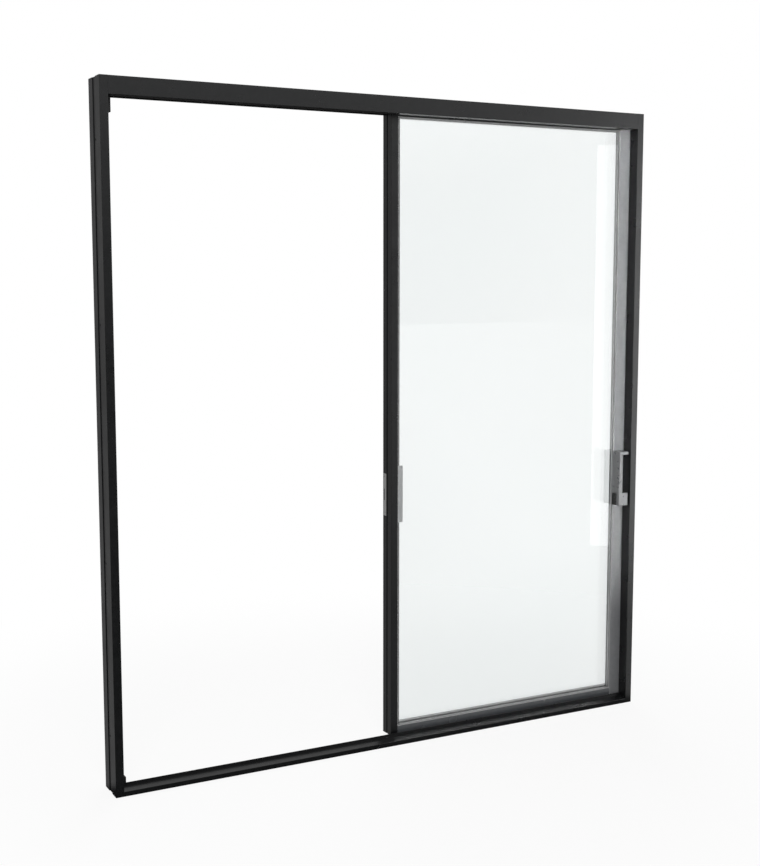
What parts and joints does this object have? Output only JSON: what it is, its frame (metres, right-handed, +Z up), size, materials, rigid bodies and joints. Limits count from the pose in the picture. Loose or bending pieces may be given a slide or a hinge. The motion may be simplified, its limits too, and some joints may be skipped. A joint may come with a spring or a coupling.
{
  "type": "two-track glazed patio sliding door",
  "caption": "Black aluminium sliding door: a frame with a head, sill and jambs, and glazed sashes on two tracks, one at the right jamb and one parked open behind it.",
  "frame": {"origin": "middle of the sill's bottom face, at half the frame's depth", "axes": "+X to the viewer's right along the tracks, +Y away from the viewer through the wall, +Z up"},
  "size_m": [2.2, 0.158, 2.4],
  "materials": {
    "frame_paint": "satin black powder coat on aluminium",
    "sash_paint": "glossy dark grey paint on aluminium",
    "stile_paint": null,
    "glass": "clear float glass, faintly cool",
    "spacer": "mill-finish aluminium spacer bar",
    "gasket": "grey glazing rubber",
    "nylon": "moulded black nylon",
    "wheel": "turned off-white nylon",
    "handle_paint": "satin black cast handle",
    "black_plastic": "fine-grained black plastic",
    "brushed_steel": "brushed stainless steel",
    "case_steel": "plain dull steel lock case",
    "satin_metal": "satin anodised aluminium"
  },
  "bodies": {
    "frame": {"left_jamb": "frame_paint", "right_jamb": "frame_paint", "head": "frame_paint", "sill": "frame_paint", "front_track": "brushed_steel", "rear_track": "brushed_steel", "left_keeper": "brushed_steel", "right_keeper": "brushed_steel", "travel_stops": "black_plastic"},
    "front_sash": {"front_lock_stile": "stile_paint", "front_interlock_stile": "frame_paint", "front_top_rail": "frame_paint", "front_bottom_rail": "sash_paint", "front_handle_side_pane": "glass", "front_pull_side_pane": "glass", "front_pane_spacer": "spacer", "front_glazing_gaskets": "gasket", "front_roller_housings": "nylon", "front_roller_wheels": "wheel", "front_top_guides": "nylon", "front_pull_handle": "handle_paint", "front_thumb_turn": "black_plastic", "front_lock_faceplate": "brushed_steel", "front_lock_case": "case_steel", "front_flush_pull": "satin_metal"},
    "rear_sash": {"rear_lock_stile": "frame_paint", "rear_interlock_stile": "frame_paint", "rear_top_rail": "frame_paint", "rear_bottom_rail": "sash_paint", "rear_handle_side_pane": "glass", "rear_pull_side_pane": "glass", "rear_pane_spacer": "spacer", "rear_glazing_gaskets": "gasket", "rear_roller_housings": "nylon", "rear_roller_wheels": "wheel", "rear_top_guides": "nylon", "rear_pull_handle": "handle_paint", "rear_thumb_turn": "black_plastic", "rear_lock_faceplate": "brushed_steel", "rear_lock_case": "case_steel", "rear_flush_pull": "satin_metal"}
  },
  "joints": [
    {"name": "front_slide", "type": "slide", "parent": "frame", "child": "front_sash", "axis": [-1, 0, 0], "range_m": [0, 1.031]},
    {"name": "rear_slide", "type": "slide", "parent": "frame", "child": "rear_sash", "axis": [-1, 0, 0], "range_m": [0, 1.064]}
  ]
}
